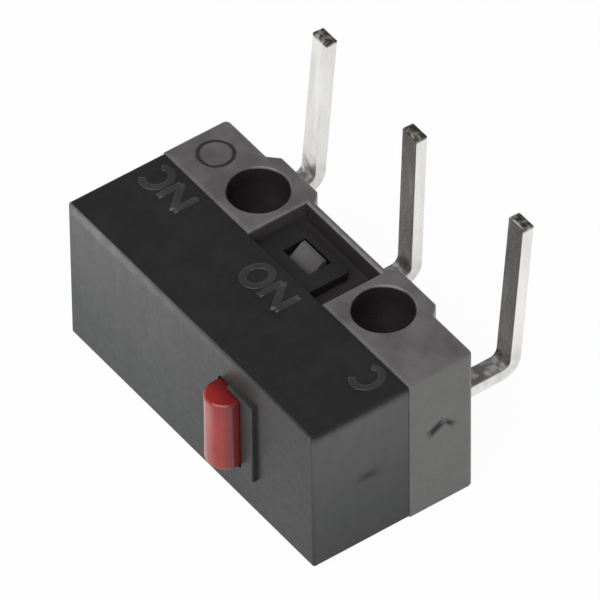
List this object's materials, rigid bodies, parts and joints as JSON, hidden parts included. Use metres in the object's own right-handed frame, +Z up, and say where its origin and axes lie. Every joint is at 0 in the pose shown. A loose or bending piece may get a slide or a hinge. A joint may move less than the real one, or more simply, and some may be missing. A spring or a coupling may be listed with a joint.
{
  "type": "micro switch",
  "caption": "Subminiature snap-action switch in a black case, with a red pin plunger, through holes for mounting and flat leads bent up past its wide face.",
  "frame": {"origin": "midway between the two mounting holes' axes, on the lower wide face of the base", "axes": "+X along the case from the normally closed end to the common end, +Y from the plunger towards the terminals, +Z up along the mounting holes, the way the terminals turn"},
  "size_m": [0.0128, 0.01, 0.0088],
  "materials": {
    "base_resin": "moulded resin, smooth satin, dark grey",
    "cover_resin": "moulded resin, fine matte texture, near black",
    "plunger_resin": "moulded resin, satin, red",
    "plated_terminal": "stamped brass, silver plated, satin",
    "contact_alloy": "gold alloy, polished",
    "spring_copper": "rolled spring copper alloy, satin"
  },
  "bodies": {
    "case": {"base": "base_resin", "cover": "cover_resin", "nc_terminal": "plated_terminal", "no_terminal": "plated_terminal", "com_terminal": "plated_terminal", "nc_contact": "contact_alloy", "no_contact": "contact_alloy"},
    "plunger_body": {"plunger": "plunger_resin"},
    "contact_body": {"moving_contact_nc": "contact_alloy", "moving_contact_no": "contact_alloy", "contact_spring": "spring_copper"}
  },
  "joints": [
    {"name": "plunger_press", "type": "slide", "parent": "case", "child": "plunger_body", "axis": [0, 1, 0], "range_m": [0, 0.0006], "stiffness_N_per_m": 2000},
    {"name": "contact_travel", "type": "slide", "parent": "case", "child": "contact_body", "axis": [0, 1, 0], "range_m": [0, 0.0005], "deforming": ["contact_spring"]}
  ],
  "couplings": [
    {"joint": "contact_travel", "follows": "plunger_press", "ratio": 0.8333}
  ]
}
